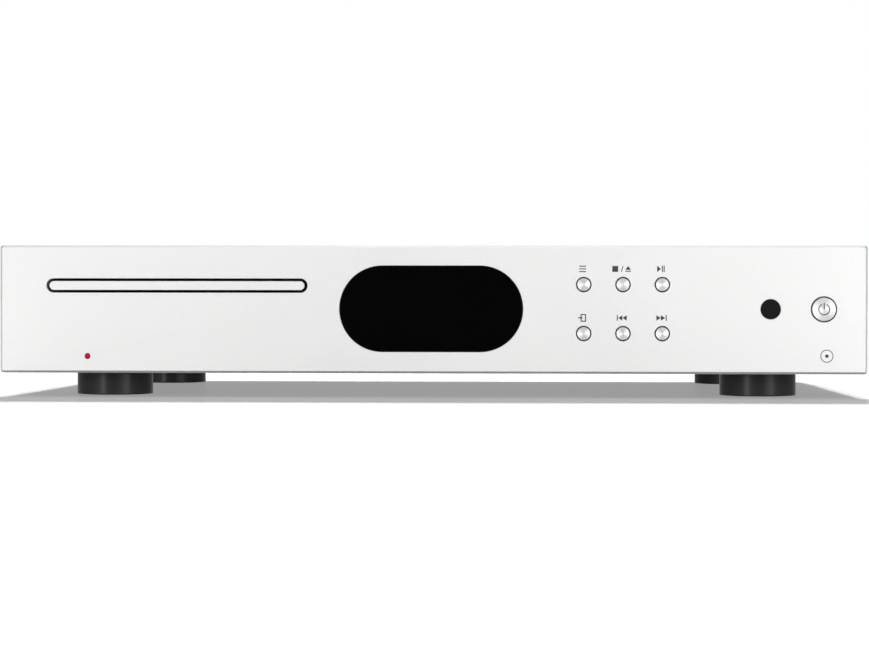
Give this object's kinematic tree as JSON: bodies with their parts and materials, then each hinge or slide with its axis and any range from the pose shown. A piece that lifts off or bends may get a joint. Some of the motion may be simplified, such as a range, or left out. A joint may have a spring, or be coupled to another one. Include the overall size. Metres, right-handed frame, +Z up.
{
  "type": "cd player",
  "caption": "Full-width hi-fi disc player: thick silver front panel, disc drawer, round-ended display window, round buttons, four round feet.",
  "frame": {"origin": "centre of the footprint, on the surface that the feet stand on", "axes": "+X to the right seen from the front, +Y towards the rear panel, +Z up"},
  "size_m": [0.4444, 0.317, 0.078],
  "materials": {
    "panel_aluminium": "bead-blasted, clear anodised",
    "turned_aluminium": "spun face",
    "window_black": "polished",
    "lamp_red": "clear red",
    "cover_paint": "fine texture paint",
    "rear_paint": "fine texture paint",
    "chassis_steel": "zinc plated",
    "screw_steel": "zinc plated",
    "foot_plastic": "satin",
    "pad_rubber": "matt",
    "display_plastic": "dark",
    "circuit_board": "solder resist",
    "black_plastic": "moulded",
    "frame_plastic": "moulded",
    "tray_plastic": "moulded, fine grain",
    "socket_gold": "gold plated",
    "socket_nickel": "nickel plated",
    "winding_tape": "film tape",
    "component_black": "plain sleeves",
    "wire_plastic": "flat ribbon",
    "gear_plastic": "acetal",
    "motor_steel": "drawn can",
    "pulley_brass": "turned",
    "mechanism_plastic": "moulded"
  },
  "bodies": {
    "case": {"fascia": "panel_aluminium", "display_window": "window_black", "sensor_window": "window_black", "lamp_lens": "lamp_red", "top_cover": "cover_paint", "rear_panel": "rear_paint", "front_subpanel": "chassis_steel", "bottom_pan": "chassis_steel", "clamp_bridge": "chassis_steel", "case_screws": "screw_steel", "foot_screws": "screw_steel", "loader_screws": "screw_steel", "transformer_clamp": "screw_steel", "foot_front_left": "foot_plastic", "foot_front_right": "foot_plastic", "foot_rear_left": "foot_plastic", "foot_rear_right": "foot_plastic", "foot_pads": "pad_rubber", "drive_belt": "pad_rubber", "display_module": "display_plastic", "front_board": "circuit_board", "psu_board": "circuit_board", "main_board": "circuit_board", "mains_inlet": "black_plastic", "mains_switch": "black_plastic", "optical_socket": "black_plastic", "trigger_jacks": "black_plastic", "loader_frame": "frame_plastic", "coax_socket": "socket_gold", "usb_socket": "socket_nickel", "transformer": "winding_tape", "psu_parts": "component_black", "main_board_parts": "component_black", "wiring": "wire_plastic", "loading_motor": "motor_steel"},
    "drawer": {"tray": "tray_plastic", "tray_trim": "panel_aluminium"},
    "drive_gear": {"drive_gear": "gear_plastic"},
    "pulley_gear": {"pulley_gear": "gear_plastic"},
    "motor_pulley": {"motor_pulley": "pulley_brass"},
    "lift_cam": {"lift_cam": "gear_plastic"},
    "clamp_puck": {"clamp_puck": "mechanism_plastic"},
    "disc_mechanism": {"sub_chassis": "mechanism_plastic", "spindle_motor": "motor_steel", "guide_rods": "screw_steel", "feed_motor": "motor_steel"},
    "turntable": {"turntable": "mechanism_plastic"},
    "pickup_sled": {"pickup_sled": "mechanism_plastic"},
    "feed_gear": {"feed_gear": "gear_plastic"},
    "feed_pinion": {"feed_pinion": "pulley_brass"},
    "mains_rocker": {"mains_rocker": "black_plastic"},
    "fuse_drawer": {"fuse_drawer": "black_plastic"},
    "optical_shutter": {"optical_shutter": "black_plastic"},
    "button_menu": {"button_menu": "turned_aluminium"},
    "button_stop_eject": {"button_stop_eject": "turned_aluminium"},
    "button_play_pause": {"button_play_pause": "turned_aluminium"},
    "button_input": {"button_input": "turned_aluminium"},
    "button_previous": {"button_previous": "turned_aluminium"},
    "button_next": {"button_next": "turned_aluminium"},
    "power_button": {"power_button": "turned_aluminium"}
  },
  "joints": [
    {"name": "drawer_slide", "type": "slide", "parent": "case", "child": "drawer", "axis": [0, -1, 0], "range_m": [0, 0.135]},
    {"name": "drive_gear_spin", "type": "hinge", "parent": "case", "child": "drive_gear", "pos_m": [-0.0591, -0.122, 0.05], "axis": [0, 0, 1], "range_deg": [0, 862]},
    {"name": "pulley_gear_spin", "type": "hinge", "parent": "case", "child": "pulley_gear", "pos_m": [-0.0495, -0.10537, 0.05], "axis": [0, 0, 1], "range_deg": [-2585, 0]},
    {"name": "motor_pulley_spin", "type": "hinge", "parent": "case", "child": "motor_pulley", "pos_m": [-0.0155, -0.10537, 0.05], "axis": [0, 0, 1], "range_deg": [-10330, 0]},
    {"name": "mechanism_lift", "type": "slide", "parent": "case", "child": "disc_mechanism", "axis": [0, 0, 1], "range_m": [0, 0.007]},
    {"name": "lift_cam_slide", "type": "slide", "parent": "case", "child": "lift_cam", "axis": [1, 0, 0], "range_m": [0, 0.014]},
    {"name": "turntable_spin", "type": "hinge", "parent": "disc_mechanism", "child": "turntable", "pos_m": [-0.1308, -0.087, 0.05], "axis": [0, 0, 1], "continuous": true},
    {"name": "sled_slide", "type": "slide", "parent": "disc_mechanism", "child": "pickup_sled", "axis": [0, 1, 0], "range_m": [0, 0.035]},
    {"name": "feed_gear_spin", "type": "hinge", "parent": "disc_mechanism", "child": "feed_gear", "pos_m": [-0.10654, -0.044, 0.038], "axis": [0, 0, 1], "range_deg": [-360, 0]},
    {"name": "feed_pinion_spin", "type": "hinge", "parent": "disc_mechanism", "child": "feed_pinion", "pos_m": [-0.09054, -0.044, 0.038], "axis": [0, 0, 1], "range_deg": [0, 1080]},
    {"name": "clamp_puck_spin", "type": "hinge", "parent": "case", "child": "clamp_puck", "pos_m": [-0.1308, -0.087, 0.063], "axis": [0, 0, 1], "continuous": true},
    {"name": "button_menu_press", "type": "slide", "parent": "case", "child": "button_menu", "axis": [0, 1, 0], "range_m": [0, 0.0008], "stiffness_N_per_m": 600, "springref_m": -0.001},
    {"name": "button_stop_eject_press", "type": "slide", "parent": "case", "child": "button_stop_eject", "axis": [0, 1, 0], "range_m": [0, 0.0008], "stiffness_N_per_m": 600, "springref_m": -0.001},
    {"name": "button_play_pause_press", "type": "slide", "parent": "case", "child": "button_play_pause", "axis": [0, 1, 0], "range_m": [0, 0.0008], "stiffness_N_per_m": 600, "springref_m": -0.001},
    {"name": "button_input_press", "type": "slide", "parent": "case", "child": "button_input", "axis": [0, 1, 0], "range_m": [0, 0.0008], "stiffness_N_per_m": 600, "springref_m": -0.001},
    {"name": "button_previous_press", "type": "slide", "parent": "case", "child": "button_previous", "axis": [0, 1, 0], "range_m": [0, 0.0008], "stiffness_N_per_m": 600, "springref_m": -0.001},
    {"name": "button_next_press", "type": "slide", "parent": "case", "child": "button_next", "axis": [0, 1, 0], "range_m": [0, 0.0008], "stiffness_N_per_m": 600, "springref_m": -0.001},
    {"name": "power_press", "type": "slide", "parent": "case", "child": "power_button", "axis": [0, 1, 0], "range_m": [0, 0.0015], "stiffness_N_per_m": 600, "springref_m": -0.001},
    {"name": "mains_rocker_tilt", "type": "hinge", "parent": "case", "child": "mains_rocker", "pos_m": [-0.135, 0.148, 0.046], "axis": [1, 0, 0], "range_deg": [0, 16]},
    {"name": "fuse_drawer_slide", "type": "slide", "parent": "case", "child": "fuse_drawer", "axis": [0, 1, 0], "range_m": [0, 0.018]},
    {"name": "optical_shutter_swing", "type": "hinge", "parent": "case", "child": "optical_shutter", "pos_m": [0.092, 0.1492, 0.0425], "axis": [1, 0, 0], "range_deg": [-80, 0], "stiffness_Nm_per_rad": 0.0005, "springref_deg": 17.19}
  ],
  "couplings": [
    {"joint": "drive_gear_spin", "follows": "drawer_slide", "rad_per_m": 111.11},
    {"joint": "pulley_gear_spin", "follows": "drawer_slide", "rad_per_m": -333.33},
    {"joint": "motor_pulley_spin", "follows": "drawer_slide", "rad_per_m": -1333.3},
    {"joint": "lift_cam_slide", "follows": "mechanism_lift", "ratio": 2},
    {"joint": "feed_gear_spin", "follows": "sled_slide", "rad_per_m": -178.57},
    {"joint": "feed_pinion_spin", "follows": "sled_slide", "rad_per_m": 535.71}
  ]
}
